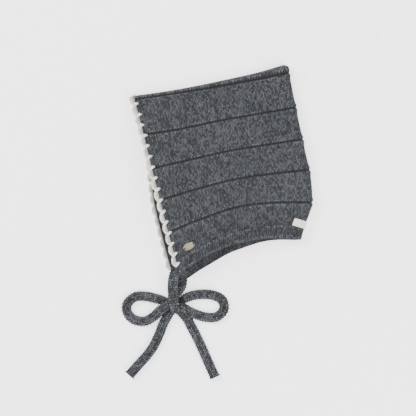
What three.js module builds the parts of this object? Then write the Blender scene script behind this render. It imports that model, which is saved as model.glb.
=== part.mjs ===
// Baby bonnet in grey knit, lying on its side, as an assembly of separate pieces.
// Millimetres. +X runs from the face opening to the back fold, +Y from the neck to
// the crown, +Z up from the surface that the bonnet lies on.
import * as THREE from 'three';
import { mergeVertices } from 'three/addons/utils/BufferGeometryUtils.js';

// ---------------------------------------------------------------- main sizes
const WALL = 2.4;              // knitted fabric, as thick as it is
const FOLD_RADIUS = 4.5;       // outside radius where the fabric turns at back and crown
const PUFF = 26;               // how far the upper layer stands off at its fullest
const BACK_LIFT = 2.2;         // the back fold curls up off the surface by this
const BACK_LIFT_REACH = 24;    // and comes down to the surface over this
const DEPTH = 150;             // face edge to back fold, for the puff
const HEIGHT = 180;            // neck edge to crown, for the puff
const PIECE_GAP = 0.3;         // between two pieces sewn or knitted together
const RIDGE_DEPTH = 0.9;       // purl ridges sit this deep in the outer face
const RIDGE_HALF = 0.06;       // half a ridge, as a share of the strip beside it
const FACE_COLUMNS = 21;       // steps from the face edge to the back fold
const FOLD_STEPS = 4;          // steps round a quarter of the back fold

// Rows of the knitting on the upper layer, from neck edge to crown. Columns: x of the
// face edge, x of the back fold, then y at five even stations between them.
const ROWS = [
  { name: 'neck_edge', faceX: -66.7, backX: 58.7, y: [-88.0, -76.2, -71.0, -72.6, -80.8] },
  { name: 'band_top', faceX: -67.9, backX: 65.8, y: [-74.5, -64.0, -58.8, -60.3, -68.0] },
  { name: 'ridge_1', faceX: -69.5, backX: 77.8, y: [-45.5, -38.9, -35.0, -38.5, -46.0] },
  { name: 'ridge_2', faceX: -70.7, backX: 82.0, y: [-12.5, -9.4, -7.6, -9.8, -13.5] },
  { name: 'ridge_3', faceX: -72.2, backX: 81.8, y: [20.0, 20.6, 21.2, 19.7, 17.7] },
  { name: 'ridge_4', faceX: -73.3, backX: 81.8, y: [55.0, 52.8, 52.8, 51.6, 50.4] },
  { name: 'ridge_5', faceX: -75.3, backX: 82.3, y: [91.2, 88.7, 86.6, 85.5, 85.0] },
  { name: 'crown', faceX: -75.5, backX: 82.1, y: [95.8, 93.3, 92.5, 92.7, 95.0] },
];
const BAND_ROW = 1;
const CROWN_ROW = 7;

// The lower layer lies a little further out than the upper one. Columns: how far down
// the neck side it goes at the same five stations, and how far it goes to the face side.
const LOWER_LAYER = { neckShift: [10.0, 12.6, 8.2, 2.8, 0.0], faceShift: 6.9, cornerShift: 2.5 };

// ---------------------------------------------------------------- small maths
function smoothStep(value, low, high) {
  const t = Math.min(1, Math.max(0, (value - low) / (high - low)));
  return t * t * (3 - 2 * t);
}

// A smooth line through evenly spaced values. It never swings past a value where the
// steps on its two sides are very unequal.
function alongTable(values, position) {
  const last = values.length - 1;
  const index = Math.min(last - 1, Math.max(0, Math.floor(position)));
  const t = position - index;
  const start = values[index];
  const end = values[index + 1];
  const step = end - start;
  const stepBefore = index > 0 ? start - values[index - 1] : step;
  const stepAfter = index + 1 < last ? values[index + 2] - end : step;
  const slopeIn = sharedSlope(stepBefore, step);
  const slopeOut = sharedSlope(step, stepAfter);
  const t2 = t * t;
  const t3 = t2 * t;
  return (2 * t3 - 3 * t2 + 1) * start + (t3 - 2 * t2 + t) * slopeIn
    + (3 * t2 - 2 * t3) * end + (t3 - t2) * slopeOut;
}

function sharedSlope(before, after) {
  const mean = (before + after) / 2;
  const limit = 3 * Math.min(Math.abs(before), Math.abs(after));
  return before * after > 0 ? Math.sign(mean) * Math.min(Math.abs(mean), limit) : 0;
}

const ROW_FACE = ROWS.map((row) => row.faceX);
const ROW_BACK = ROWS.map((row) => row.backX);
const STATION_ROWS = [0, 1, 2, 3, 4].map((station) => ROWS.map((row) => row.y[station]));

function rowSpan(row) {
  return { face: alongTable(ROW_FACE, row), back: alongTable(ROW_BACK, row) };
}

function rowY(row, share) {
  const stations = STATION_ROWS.map((column) => alongTable(column, row));
  return alongTable(stations, share * 4);
}

// The row that passes through a height y at a share of the way from face to back.
function rowThrough(y, share) {
  let low = 0;
  let high = CROWN_ROW;
  for (let step = 0; step < 40; step += 1) {
    const middle = (low + high) / 2;
    if (rowY(middle, share) < y) {
      low = middle;
    } else {
      high = middle;
    }
  }
  return (low + high) / 2;
}

// ---------------------------------------------------------------- outer face of the hood
// reach is measured over the fabric from the back fold: plus on the upper layer, minus on
// the lower one.
const QUARTER_FOLD = FOLD_RADIUS * Math.PI / 2;

function outerPoint(row, reach) {
  const span = rowSpan(row);
  const width = span.back - span.face;
  const upper = reach >= 0;
  const angle = Math.min(1, Math.abs(reach) / QUARTER_FOLD) * Math.PI / 2;
  const overFold = Math.max(0, Math.abs(reach) - QUARTER_FOLD);
  const fromBack = FOLD_RADIUS * (1 - Math.cos(angle)) + overFold;
  const share = 1 - fromBack / width;
  const y = rowY(row, share);
  const fromCrown = Math.max(0, rowY(CROWN_ROW, share) - y);

  // Both folds together make a ball corner at the peak.
  const backTurn = Math.max(0, 1 - fromBack / FOLD_RADIUS);
  const crownTurn = Math.min(1, Math.max(0, 1 - fromCrown / FOLD_RADIUS));
  const pullBack = backTurn - backTurn * Math.sqrt(1 - crownTurn * crownTurn / 2);
  const pullCrown = crownTurn - crownTurn * Math.sqrt(1 - backTurn * backTurn / 2);
  const swell = Math.sqrt(Math.max(0, (1 - backTurn ** 2) * (1 - crownTurn ** 2)));

  const alongDepth = Math.min(1, fromBack / (0.9 * DEPTH));
  const alongHeight = Math.min(1, fromCrown / (0.75 * HEIGHT));
  const rise = Math.sin(alongDepth * Math.PI / 2) ** 1.1 * Math.sin(alongHeight * Math.PI / 2) ** 1.1;
  const neckDrop = 1 - 0.5 * smoothStep(fromCrown / HEIGHT, 0.55, 0.95);
  const faceDrop = 1 - 0.12 * smoothStep(fromBack / DEPTH, 0.8, 1);
  const puff = PUFF * rise * neckDrop * faceDrop;

  const lift = BACK_LIFT * (1 - smoothStep(fromBack, FOLD_RADIUS, BACK_LIFT_REACH));
  const middle = FOLD_RADIUS + lift;
  const point = new THREE.Vector3(
    span.back - fromBack - FOLD_RADIUS * pullBack,
    y - FOLD_RADIUS * pullCrown,
    upper ? middle + FOLD_RADIUS * swell + puff : middle - FOLD_RADIUS * swell,
  );
  if (!upper) {
    const down = fromCrown / HEIGHT;
    const toFace = 1 - share;
    const faceSide = LOWER_LAYER.faceShift * smoothStep(down, 0.3, 0.64)
      - (LOWER_LAYER.faceShift - LOWER_LAYER.cornerShift) * smoothStep(down, 0.92, 1.02);
    point.x -= faceSide * toFace ** 1.5;
    point.y -= alongTable(LOWER_LAYER.neckShift, share * 4) * Math.min(1, down) ** 2.2;
  }
  return point;
}

function faceReach(row) {
  const span = rowSpan(row);
  return span.back - span.face - FOLD_RADIUS + QUARTER_FOLD;
}

function outerNormal(row, reach) {
  const step = 0.2;
  const rowStep = 0.01;
  const across = outerPoint(row, reach + step).sub(outerPoint(row, reach - step));
  const up = outerPoint(row + rowStep, reach).sub(outerPoint(row - rowStep, reach));
  return new THREE.Vector3().crossVectors(up, across).normalize();
}

// ---------------------------------------------------------------- grid of the fabric
const BAND_SEAM_BELOW = PIECE_GAP / 2 / 12.4;
const BAND_SEAM_ABOVE = PIECE_GAP / 2 / 24;
const bandRows = [0, 0.33, 0.67, BAND_ROW - BAND_SEAM_BELOW];
const hoodRows = [BAND_ROW + BAND_SEAM_ABOVE, 1.33, 1.66];
for (let ridge = 2; ridge <= 5; ridge += 1) {
  hoodRows.push(ridge - RIDGE_HALF, ridge, ridge + RIDGE_HALF, ridge + 0.35, ridge + 0.65);
}
hoodRows.push(5.95, 6, 6.3, 6.55, 6.78, 6.93, CROWN_ROW);
const gridRows = [...bandRows, ...hoodRows];

const reachShares = [];
for (let column = 0; column < FACE_COLUMNS; column += 1) {
  reachShares.push({ flat: 1 - column / FACE_COLUMNS, fold: 1 });
}
for (let step = FOLD_STEPS; step > 0; step -= 1) {
  reachShares.push({ flat: 0, fold: step / FOLD_STEPS });
}
const upperColumns = reachShares.length;
const COLUMNS = 2 * upperColumns + 1;

function reachAt(row, column) {
  const middle = upperColumns;
  if (column === middle) {
    return 0;
  }
  const upper = column < middle;
  const share = reachShares[upper ? column : COLUMNS - 1 - column];
  const reach = (faceReach(row) - QUARTER_FOLD) * share.flat + QUARTER_FOLD * share.fold;
  return upper ? reach : -reach;
}

// The crown is one line of points that both layers share.
function vertexIndex(rowNumber, column) {
  const shared = rowNumber === gridRows.length - 1 && column > upperColumns;
  return rowNumber * COLUMNS + (shared ? COLUMNS - 1 - column : column);
}

const outerGrid = [];
const gridTriangles = [];
gridRows.forEach((row, rowNumber) => {
  for (let column = 0; column < COLUMNS; column += 1) {
    outerGrid.push(outerPoint(row, reachAt(row, column)));
    if (rowNumber > 0 && column > 0) {
      const a = vertexIndex(rowNumber - 1, column - 1);
      const b = vertexIndex(rowNumber - 1, column);
      const c = vertexIndex(rowNumber, column);
      const d = vertexIndex(rowNumber, column - 1);
      gridTriangles.push([a, b, c], [a, c, d]);
    }
  }
});

const gridNormals = outerGrid.map(() => new THREE.Vector3());
for (const [a, b, c] of gridTriangles) {
  const edge1 = outerGrid[b].clone().sub(outerGrid[a]);
  const edge2 = outerGrid[c].clone().sub(outerGrid[a]);
  const facing = edge1.cross(edge2);
  gridNormals[a].add(facing);
  gridNormals[b].add(facing);
  gridNormals[c].add(facing);
}
// Rim points of two pieces share a direction, so that their rims lie face to face.
const seamBelow = bandRows.length - 1;
for (let column = 0; column < COLUMNS; column += 1) {
  const below = gridNormals[vertexIndex(seamBelow, column)];
  const above = gridNormals[vertexIndex(seamBelow + 1, column)];
  const shared = below.clone().normalize().add(above.clone().normalize());
  below.copy(shared);
  above.copy(shared);
}
gridNormals.forEach((normal) => normal.normalize());
const facesUp = gridNormals[vertexIndex(seamBelow, 5)].z > 0 ? 1 : -1;
gridNormals.forEach((normal) => normal.multiplyScalar(facesUp));

function outerVertex(rowNumber, column) {
  const index = vertexIndex(rowNumber, column);
  const row = gridRows[rowNumber];
  const ridged = Number.isInteger(row) && row > BAND_ROW && row < CROWN_ROW;
  const point = outerGrid[index].clone();
  return ridged ? point.addScaledVector(gridNormals[index], -RIDGE_DEPTH) : point;
}

function innerVertex(rowNumber, column) {
  const index = vertexIndex(rowNumber, column);
  return outerGrid[index].clone().addScaledVector(gridNormals[index], -WALL);
}

// ---------------------------------------------------------------- building solids
function solidFromQuads(quads) {
  const positions = [];
  const add = (p, q, r) => {
    if (p.distanceTo(q) < 1e-4 || q.distanceTo(r) < 1e-4 || r.distanceTo(p) < 1e-4) {
      return;
    }
    positions.push(p.x, p.y, p.z, q.x, q.y, q.z, r.x, r.y, r.z);
  };
  for (const [a, b, c, d] of quads) {
    add(a, b, c);
    add(a, c, d);
  }
  const soup = new THREE.BufferGeometry();
  soup.setAttribute('position', new THREE.Float32BufferAttribute(positions, 3));
  return outwardSolid(soup);
}

function outwardSolid(source) {
  const bare = new THREE.BufferGeometry();
  bare.setAttribute('position', source.getAttribute('position'));
  if (source.index) {
    bare.setIndex(source.index);
  }
  const geometry = mergeVertices(bare, 1e-4);
  const points = geometry.getAttribute('position');
  const order = geometry.index.array;
  const p = new THREE.Vector3();
  const q = new THREE.Vector3();
  const r = new THREE.Vector3();
  let volume = 0;
  for (let i = 0; i < order.length; i += 3) {
    p.fromBufferAttribute(points, order[i]);
    q.fromBufferAttribute(points, order[i + 1]);
    r.fromBufferAttribute(points, order[i + 2]);
    volume += p.dot(q.cross(r)) / 6;
  }
  if (volume < 0) {
    for (let i = 0; i < order.length; i += 3) {
      [order[i + 1], order[i + 2]] = [order[i + 2], order[i + 1]];
    }
  }
  geometry.computeVertexNormals();
  return geometry;
}

// A run of fabric rows as one closed wall with its rims.
function fabricWall(firstRow, lastRow, closedTop) {
  const quads = [];
  for (let row = firstRow; row < lastRow; row += 1) {
    for (let column = 1; column < COLUMNS; column += 1) {
      quads.push([outerVertex(row, column - 1), outerVertex(row, column),
        outerVertex(row + 1, column), outerVertex(row + 1, column - 1)]);
      quads.push([innerVertex(row, column), innerVertex(row, column - 1),
        innerVertex(row + 1, column - 1), innerVertex(row + 1, column)]);
    }
    quads.push([innerVertex(row, 0), outerVertex(row, 0),
      outerVertex(row + 1, 0), innerVertex(row + 1, 0)]);
    const far = COLUMNS - 1;
    quads.push([outerVertex(row, far), innerVertex(row, far),
      innerVertex(row + 1, far), outerVertex(row + 1, far)]);
  }
  for (let column = 1; column < COLUMNS; column += 1) {
    quads.push([outerVertex(firstRow, column), outerVertex(firstRow, column - 1),
      innerVertex(firstRow, column - 1), innerVertex(firstRow, column)]);
    if (!closedTop) {
      quads.push([outerVertex(lastRow, column - 1), outerVertex(lastRow, column),
        innerVertex(lastRow, column), innerVertex(lastRow, column - 1)]);
    }
  }
  return solidFromQuads(quads);
}

// A ring of section points swept through a list of frames, closed at both ends.
function sweptStrip(sections) {
  const quads = [];
  const corners = sections[0].length;
  for (let station = 1; station < sections.length; station += 1) {
    for (let corner = 0; corner < corners; corner += 1) {
      const next = (corner + 1) % corners;
      quads.push([sections[station - 1][corner], sections[station - 1][next],
        sections[station][next], sections[station][corner]]);
    }
  }
  for (const [section, turned] of [[sections[0], true], [sections[sections.length - 1], false]]) {
    for (let corner = 1; corner + 2 < corners; corner += 2) {
      const cap = [section[0], section[corner], section[corner + 1], section[corner + 2]];
      quads.push(turned ? cap.reverse() : cap);
    }
  }
  return solidFromQuads(quads);
}

// ---------------------------------------------------------------- crochet edging
// A scalloped strip of crochet worked on to the whole face edge, from one neck corner
// over the crown to the other.
const EDGING_THICKNESS = 2.0;
const EDGING_LOW_WIDTH = 3.9;
const EDGING_SCALLOP = 1.6;
const SCALLOP_PITCH = 11.1;
const EDGING_STEPS_PER_SCALLOP = 6;
const EDGING_FIRST_ROW = 2;
const EDGING_LAST_ROW = 3;

function edgingGeometry() {
  const last = gridRows.length - 1;
  const rim = [];
  const outward = [];
  const addRimPoint = (rowNumber, column, inward) => {
    const here = outerVertex(rowNumber, column).add(innerVertex(rowNumber, column)).multiplyScalar(0.5);
    const inside = outerVertex(rowNumber, inward).add(innerVertex(rowNumber, inward)).multiplyScalar(0.5);
    const direction = here.clone().sub(inside).normalize();
    rim.push(here);
    outward.push(here.clone().add(direction));
  };
  const plainRow = (rowNumber) => {
    const row = gridRows[rowNumber];
    return !(Number.isInteger(row) && row > BAND_ROW && row < CROWN_ROW);
  };
  for (let row = EDGING_FIRST_ROW; row <= last; row += 1) {
    if (plainRow(row)) {
      addRimPoint(row, 0, 1);
    }
  }
  for (let row = last - 1; row >= EDGING_LAST_ROW; row -= 1) {
    if (plainRow(row)) {
      addRimPoint(row, COLUMNS - 1, COLUMNS - 2);
    }
  }
  const rimCurve = new THREE.CatmullRomCurve3(rim, false, 'centripetal');
  const outCurve = new THREE.CatmullRomCurve3(outward, false, 'centripetal');
  rimCurve.arcLengthDivisions = 1200;
  const length = rimCurve.getLength();
  const scallops = Math.round(length / SCALLOP_PITCH);
  const stations = scallops * EDGING_STEPS_PER_SCALLOP;
  const sections = [];
  for (let station = 0; station <= stations; station += 1) {
    const share = station / stations;
    const t = rimCurve.getUtoTmapping(share);
    const base = rimCurve.getPoint(t);
    const tangent = rimCurve.getTangent(t);
    const away = outCurve.getPoint(t).sub(base).normalize();
    const face = new THREE.Vector3().crossVectors(tangent, away).normalize();
    away.crossVectors(face, tangent).normalize();
    const wave = Math.abs(Math.sin(Math.PI * share * scallops)) ** 0.7;
    const width = EDGING_LOW_WIDTH + EDGING_SCALLOP * wave;
    const half = EDGING_THICKNESS / 2;
    const at = (out, side) => base.clone().addScaledVector(away, out).addScaledVector(face, side);
    sections.push([
      at(PIECE_GAP, -half * 0.9), at(width * 0.6, -half), at(width, -half * 0.5),
      at(width, half * 0.5), at(width * 0.6, half), at(PIECE_GAP, half * 0.9),
    ]);
  }
  return sweptStrip(sections);
}

// ---------------------------------------------------------------- ties
// Knitted cord, a little flattened. Each row of a route is x, y, z of its centre line.
const CORD_WIDTH = 9;
const CORD_HEIGHT = 5.8;
const CORD_SIDES = 10;
const CORD_STEP = 7.5;

const TIE_ROUTES = {
  upper_tie_strap: [
    { x: -71.6, y: -86.4, z: 17.2 }, { x: -73.9, y: -91.0, z: 16.6 },
    { x: -76.0, y: -98.0, z: 13.0 }, { x: -77.6, y: -104.4, z: 10.0 },
    { x: -78.2, y: -108.6, z: 9.4 },
  ],
  lower_tie_strap: [
    { x: -66.9, y: -101.3, z: 3.0 }, { x: -69.8, y: -103.7, z: 3.0 },
    { x: -73.2, y: -105.9, z: 3.0 }, { x: -76.1, y: -107.4, z: 3.0 },
  ],
  bow_loop_left: [
    { x: -84.6, y: -113.9, z: 3.0 }, { x: -92.5, y: -109.7, z: 3.0 },
    { x: -104.5, y: -104.1, z: 3.0 }, { x: -116.0, y: -102.3, z: 3.0 },
    { x: -125.0, y: -107.8, z: 3.0 }, { x: -126.5, y: -116.0, z: 3.0 },
    { x: -122.0, y: -123.8, z: 3.0 }, { x: -111.5, y: -128.0, z: 3.0 },
    { x: -101.5, y: -125.2, z: 4.6 }, { x: -92.0, y: -119.4, z: 9.4 },
    { x: -84.8, y: -117.0, z: 9.6 },
  ],
  bow_loop_right: [
    { x: -71.1, y: -115.0, z: 3.0 }, { x: -61.2, y: -113.0, z: 3.0 },
    { x: -49.5, y: -113.6, z: 3.0 }, { x: -38.5, y: -117.0, z: 3.0 },
    { x: -30.9, y: -123.5, z: 3.0 }, { x: -30.9, y: -132.5, z: 3.0 },
    { x: -39.0, y: -138.6, z: 3.0 }, { x: -49.5, y: -137.2, z: 3.4 },
    { x: -59.0, y: -132.2, z: 7.0 }, { x: -65.5, y: -127.3, z: 9.4 },
    { x: -72.1, y: -121.2, z: 9.7 },
  ],
  bow_tail_left: [
    { x: -83.0, y: -123.2, z: 3.0 }, { x: -92.4, y: -132.9, z: 3.0 },
    { x: -99.3, y: -143.1, z: 3.0 }, { x: -106.7, y: -153.0, z: 3.0 },
    { x: -114.9, y: -161.0, z: 3.0 }, { x: -126.2, y: -169.3, z: 3.0 },
    { x: -137.6, y: -177.9, z: 3.0 },
  ],
  bow_tail_right: [
    { x: -75.1, y: -124.5, z: 3.0 }, { x: -69.5, y: -133.8, z: 3.0 },
    { x: -66.9, y: -142.3, z: 3.0 }, { x: -63.9, y: -153.0, z: 3.0 },
    { x: -61.2, y: -164.0, z: 3.0 }, { x: -58.5, y: -177.0, z: 3.0 },
    { x: -54.0, y: -197.7, z: 3.0 },
  ],
};

function cordGeometry(route) {
  const path = new THREE.CatmullRomCurve3(
    route.map((stop) => new THREE.Vector3(stop.x, stop.y, stop.z)), false, 'centripetal');
  const steps = Math.max(3, Math.round(path.getLength() / CORD_STEP));
  const corners = [];
  for (let side = 0; side < CORD_SIDES; side += 1) {
    const angle = 2 * Math.PI * (side + 0.5) / CORD_SIDES;
    corners.push(new THREE.Vector2(CORD_HEIGHT / 2 * Math.cos(angle), CORD_WIDTH / 2 * Math.sin(angle)));
  }
  const section = new THREE.Shape(corners);
  return outwardSolid(new THREE.ExtrudeGeometry(section, { steps, bevelEnabled: false, extrudePath: path }));
}

// The knot is one turn of the cord pulled tight round the middle of the bow.
const KNOT = { x: -78.5, y: -117.0, z: 7.0, halfX: 5.2, halfY: 8.4, halfZ: 6.4 };

function knotGeometry() {
  const geometry = new THREE.SphereGeometry(1, 24, 14);
  const points = geometry.getAttribute('position');
  const squareUp = (value) => Math.sign(value) * Math.abs(value) ** 0.85;
  for (let i = 0; i < points.count; i += 1) {
    points.setXYZ(i,
      KNOT.x + KNOT.halfX * squareUp(points.getX(i)),
      KNOT.y + KNOT.halfY * squareUp(points.getY(i)),
      KNOT.z + KNOT.halfZ * squareUp(points.getZ(i)));
  }
  return outwardSolid(geometry);
}

// ---------------------------------------------------------------- woven label
// A short woven tape folded round the back of the neck, half of it on each layer.
const LABEL_WIDTH = 6.5;
const LABEL_THICKNESS = 0.6;
const LABEL_LEG = 15.4;
const LABEL_EDGE_Y = -67.6;
const LABEL_SLANT = 0.22;      // y gained per mm going in from the fold
const LABEL_STATIONS = 24;

function labelGeometry() {
  const sections = [];
  for (let station = 0; station <= LABEL_STATIONS; station += 1) {
    const reach = LABEL_LEG * (1 - 2 * station / LABEL_STATIONS);
    const ring = [];
    const across = [-1, 0, 1];
    const pointAt = (side, height) => {
      const span = rowSpan(BAND_ROW);
      const share = 1 - Math.abs(reach) / (span.back - span.face);
      const centreY = rowY(BAND_ROW, share) + (LABEL_EDGE_Y - rowY(BAND_ROW, 1))
        + LABEL_SLANT * Math.abs(reach);
      const row = rowThrough(centreY + side * LABEL_WIDTH / 2, share);
      return outerPoint(row, reach).addScaledVector(outerNormal(row, reach), height);
    };
    across.forEach((side) => ring.push(pointAt(side, PIECE_GAP)));
    across.slice().reverse().forEach((side) => ring.push(pointAt(side, PIECE_GAP + LABEL_THICKNESS)));
    sections.push(ring);
  }
  return sweptStrip(sections);
}

// ---------------------------------------------------------------- metal tag
// A small oval plate with a hole at each end, held to the hood by a stitch through each.
const TAG = { x: -52.0, y: -63.0, length: 13, width: 7.2, thickness: 0.8, tilt: 19, hole: 1.0, holeAt: 5.0 };
const STITCH_THREAD = 0.35;
const STITCH_RISE = 0.15;
const STITCH_OUT = 7.35;

function tagFrame() {
  let row = 1.2;
  let share = 0.12;
  for (let step = 0; step < 12; step += 1) {
    const span = rowSpan(row);
    share = (TAG.x - span.face) / (span.back - span.face);
    row = rowThrough(TAG.y, share);
  }
  const span = rowSpan(row);
  const reach = (1 - share) * (span.back - span.face) - FOLD_RADIUS + QUARTER_FOLD;
  const up = outerNormal(row, reach);
  const tilt = THREE.MathUtils.degToRad(TAG.tilt);
  const along = new THREE.Vector3(Math.cos(tilt), Math.sin(tilt), 0);
  const across = new THREE.Vector3().crossVectors(up, along).normalize();
  along.crossVectors(across, up).normalize();
  const seat = outerPoint(row, reach).addScaledVector(up, PIECE_GAP);
  return new THREE.Matrix4().makeBasis(along, across, up).setPosition(seat);
}

function tagGeometry() {
  const plate = new THREE.Shape();
  plate.absellipse(0, 0, TAG.length / 2, TAG.width / 2, 0, 2 * Math.PI, false);
  for (const end of [-1, 1]) {
    const hole = new THREE.Path();
    hole.absarc(end * TAG.holeAt, 0, TAG.hole, 0, 2 * Math.PI, true);
    plate.holes.push(hole);
  }
  const geometry = new THREE.ExtrudeGeometry(plate, {
    depth: TAG.thickness, bevelEnabled: false, curveSegments: 14,
  });
  return outwardSolid(geometry.applyMatrix4(tagFrame()));
}

function stitchGeometry(end) {
  const top = TAG.thickness + STITCH_RISE + STITCH_THREAD;
  const corner = 0.5;
  const at = (x, z) => new THREE.Vector3(end * x, 0, z);
  const path = new THREE.CurvePath();
  path.add(new THREE.LineCurve3(at(TAG.holeAt, -0.05), at(TAG.holeAt, top - corner)));
  path.add(new THREE.QuadraticBezierCurve3(at(TAG.holeAt, top - corner), at(TAG.holeAt, top),
    at(TAG.holeAt + corner, top)));
  path.add(new THREE.LineCurve3(at(TAG.holeAt + corner, top), at(STITCH_OUT - corner, top)));
  path.add(new THREE.QuadraticBezierCurve3(at(STITCH_OUT - corner, top), at(STITCH_OUT, top),
    at(STITCH_OUT, top - corner)));
  path.add(new THREE.LineCurve3(at(STITCH_OUT, top - corner), at(STITCH_OUT, -0.05)));
  const section = new THREE.Shape();
  section.absarc(0, 0, STITCH_THREAD, 0, 2 * Math.PI, false);
  const geometry = new THREE.ExtrudeGeometry(section, {
    steps: 14, bevelEnabled: false, extrudePath: path, curveSegments: 8,
  });
  return outwardSolid(geometry.applyMatrix4(tagFrame()));
}

// ---------------------------------------------------------------- assembly
// The tables are read from one corner of the work, and the whole then moves so that the
// hood, band and edging stand centred on the origin.
const CENTRE = { x: -0.27, y: -1.1 };

const MATERIALS = {
  knit: { color: 0x565a60, roughness: 0.95, metalness: 0.0 },
  cord: { color: 0x4f5359, roughness: 0.95, metalness: 0.0 },
  crochet: { color: 0xeae6dc, roughness: 0.9, metalness: 0.0 },
  tape: { color: 0xf0e9d8, roughness: 0.8, metalness: 0.0 },
  metal: { color: 0xb9ad98, roughness: 0.35, metalness: 0.9 },
  thread: { color: 0x3a3d42, roughness: 0.9, metalness: 0.0 },
};

function piece(name, geometry, material) {
  geometry.translate(-CENTRE.x, -CENTRE.y, 0);
  const mesh = new THREE.Mesh(geometry, new THREE.MeshStandardMaterial(material));
  mesh.name = name;
  return mesh;
}

const bonnet = new THREE.Group();
bonnet.name = 'baby_bonnet';
const lastRow = gridRows.length - 1;
bonnet.add(piece('hood', fabricWall(bandRows.length, lastRow, true), MATERIALS.knit));
bonnet.add(piece('neck_band', fabricWall(0, seamBelow, false), MATERIALS.knit));
bonnet.add(piece('face_edging', edgingGeometry(), MATERIALS.crochet));
for (const [name, route] of Object.entries(TIE_ROUTES)) {
  bonnet.add(piece(name, cordGeometry(route), MATERIALS.cord));
}
bonnet.add(piece('bow_knot', knotGeometry(), MATERIALS.cord));
bonnet.add(piece('nape_label', labelGeometry(), MATERIALS.tape));
bonnet.add(piece('metal_tag', tagGeometry(), MATERIALS.metal));
bonnet.add(piece('tag_stitch_front', stitchGeometry(-1), MATERIALS.thread));
bonnet.add(piece('tag_stitch_rear', stitchGeometry(1), MATERIALS.thread));

export default bonnet;
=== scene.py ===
import bmesh
import bpy
import math
import numpy as np
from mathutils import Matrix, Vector
from mathutils.geometry import delaunay_2d_cdt


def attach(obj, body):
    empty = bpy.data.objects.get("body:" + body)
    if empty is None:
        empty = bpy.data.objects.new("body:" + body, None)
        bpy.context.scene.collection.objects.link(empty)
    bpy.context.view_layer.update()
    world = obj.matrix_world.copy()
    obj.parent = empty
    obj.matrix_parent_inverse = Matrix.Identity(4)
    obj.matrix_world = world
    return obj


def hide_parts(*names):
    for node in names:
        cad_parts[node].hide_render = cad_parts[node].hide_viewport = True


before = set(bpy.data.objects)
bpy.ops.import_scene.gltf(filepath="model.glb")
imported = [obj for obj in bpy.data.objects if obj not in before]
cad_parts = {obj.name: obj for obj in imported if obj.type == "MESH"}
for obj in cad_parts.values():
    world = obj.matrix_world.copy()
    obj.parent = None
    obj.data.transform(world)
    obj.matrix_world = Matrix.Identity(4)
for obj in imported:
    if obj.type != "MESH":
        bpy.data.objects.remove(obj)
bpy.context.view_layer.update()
MM = 0.001

# ------------------------------------------------------------------ camera
# A long lens straight above the bonnet, which lies on its side on the floor. The frame
# is turned by the bonnet's own tilt, so the crown runs down to the back fold's side.
VIEW_SIDE = 416 * MM
VIEW_CENTRE = (-25.23 * MM, -28.9 * MM)
VIEW_HEIGHT = 1.75
VIEW_TURN = -12.0

lens = bpy.data.cameras.new("long_lens")
lens.sensor_width = 36.0
lens.lens = 36.0 * (VIEW_HEIGHT - 12 * MM) / VIEW_SIDE
lens.clip_end = 10.0
camera = bpy.data.objects.new("camera_above", lens)
camera.location = (VIEW_CENTRE[0], VIEW_CENTRE[1], VIEW_HEIGHT)
camera.rotation_euler = (0.0, 0.0, math.radians(VIEW_TURN))
bpy.context.scene.collection.objects.link(camera)
bpy.context.scene.camera = camera

# ------------------------------------------------------------------ ties
# Two cords, each knitted in the round from grey melange wool and pressed a little flat.
# One leaves each neck corner; they are tied once and drawn up into a bow that lies on
# the table with its tails spread.
CORD_WIDTH = 9.8
CORD_HEIGHT = 6.0
CORD_WALES = 9
CORD_COURSE = 2.5
FRAME_SHIFT = (-0.27, -1.1, 0.0)

UPPER_STRAP = [
    (-69.6, -84.2, 17.4), (-71.6, -86.8, 17.2), (-73.9, -91.0, 16.4),
    (-76.0, -98.0, 13.0), (-77.6, -104.4, 10.0),
]
LOWER_STRAP = [
    (-65.4, -94.2, 2.6), (-67.4, -100.2, 3.0), (-70.6, -104.2, 3.2),
    (-73.4, -106.9, 3.3), (-76.2, -109.4, 3.6),
]
LEFT_LOOP = [
    (-84.6, -113.9, 3.2), (-92.5, -109.7, 3.1), (-104.5, -104.1, 3.1),
    (-116.0, -102.3, 3.1), (-125.0, -107.8, 3.1), (-126.5, -116.0, 3.1),
    (-122.0, -123.8, 3.1), (-111.5, -128.0, 3.1), (-101.5, -125.2, 4.6),
    (-92.0, -119.4, 8.2), (-84.8, -117.0, 8.4),
]
RIGHT_LOOP = [
    (-72.2, -115.2, 3.2), (-61.2, -113.0, 3.1), (-49.5, -113.6, 3.1),
    (-38.5, -117.0, 3.1), (-30.9, -123.5, 3.1), (-30.9, -132.5, 3.1),
    (-39.0, -138.6, 3.1), (-49.5, -137.2, 3.4), (-59.0, -132.2, 6.4),
    (-65.5, -127.3, 8.2), (-70.6, -122.6, 8.4),
]
LEFT_TAIL = [
    (-85.3, -125.6, 3.2), (-92.4, -132.9, 3.1), (-99.3, -143.1, 3.1),
    (-106.7, -153.0, 3.1), (-114.9, -161.0, 3.1), (-126.2, -169.3, 3.1),
    (-137.6, -177.9, 3.1),
]
RIGHT_TAIL = [
    (-73.7, -126.8, 3.2), (-69.5, -133.8, 3.1), (-66.9, -142.3, 3.1),
    (-63.9, -153.0, 3.1), (-61.2, -164.0, 3.1), (-58.5, -177.0, 3.1),
    (-54.0, -197.7, 3.1),
]
KNOT_TURN_1 = [(-78.6, -111.4, 6.6), (-79.4, -115.2, 5.4)]
KNOT_TURN_2 = [(-79.0, -118.6, 7.2), (-77.4, -122.0, 5.2)]
KNOT_TURN_3 = [(-77.4, -112.4, 4.2), (-75.6, -114.8, 3.8)]
KNOT_TURN_4 = [(-77.8, -119.2, 6.4), (-80.6, -121.8, 4.6)]


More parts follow.
